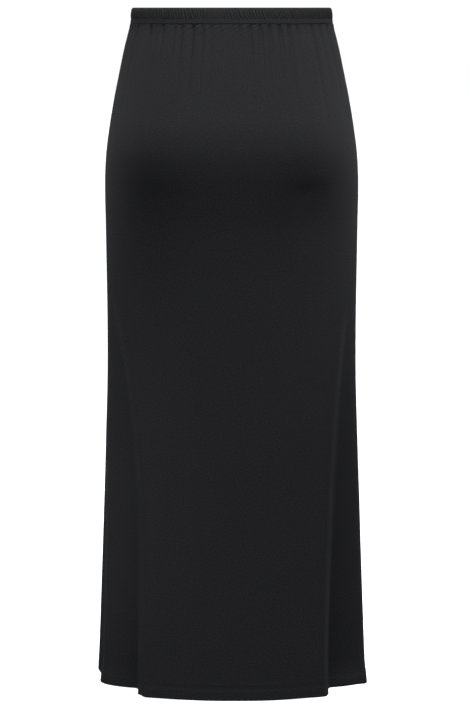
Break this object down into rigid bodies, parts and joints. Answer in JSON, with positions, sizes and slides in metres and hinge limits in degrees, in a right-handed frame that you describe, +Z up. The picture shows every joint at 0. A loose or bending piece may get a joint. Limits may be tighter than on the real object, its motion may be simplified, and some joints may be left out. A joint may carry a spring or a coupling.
{
  "type": "maxi skirt",
  "caption": "Plain near-black jersey maxi skirt with a shirred elastic waistband, filled out as worn, with soft gathers and side folds.",
  "frame": {"origin": "middle of the waist opening, half-way up the elastic, where a wearer's waist holds the skirt", "axes": "+Z up from the hem to the waist; -Y is the skirt's back, the side that the picture shows; +X is the right of that view"},
  "size_m": [0.4165, 0.3068, 1.0364],
  "materials": {
    "jersey": "matte knitted jersey, near black with a soft sheen at its edges",
    "shirred_jersey": "the same jersey shirred over elastic into fine upright ribs"
  },
  "bodies": {
    "root": {"waistband": "shirred_jersey", "back_panel": "jersey", "front_panel": "jersey"}
  },
  "joints": []
}
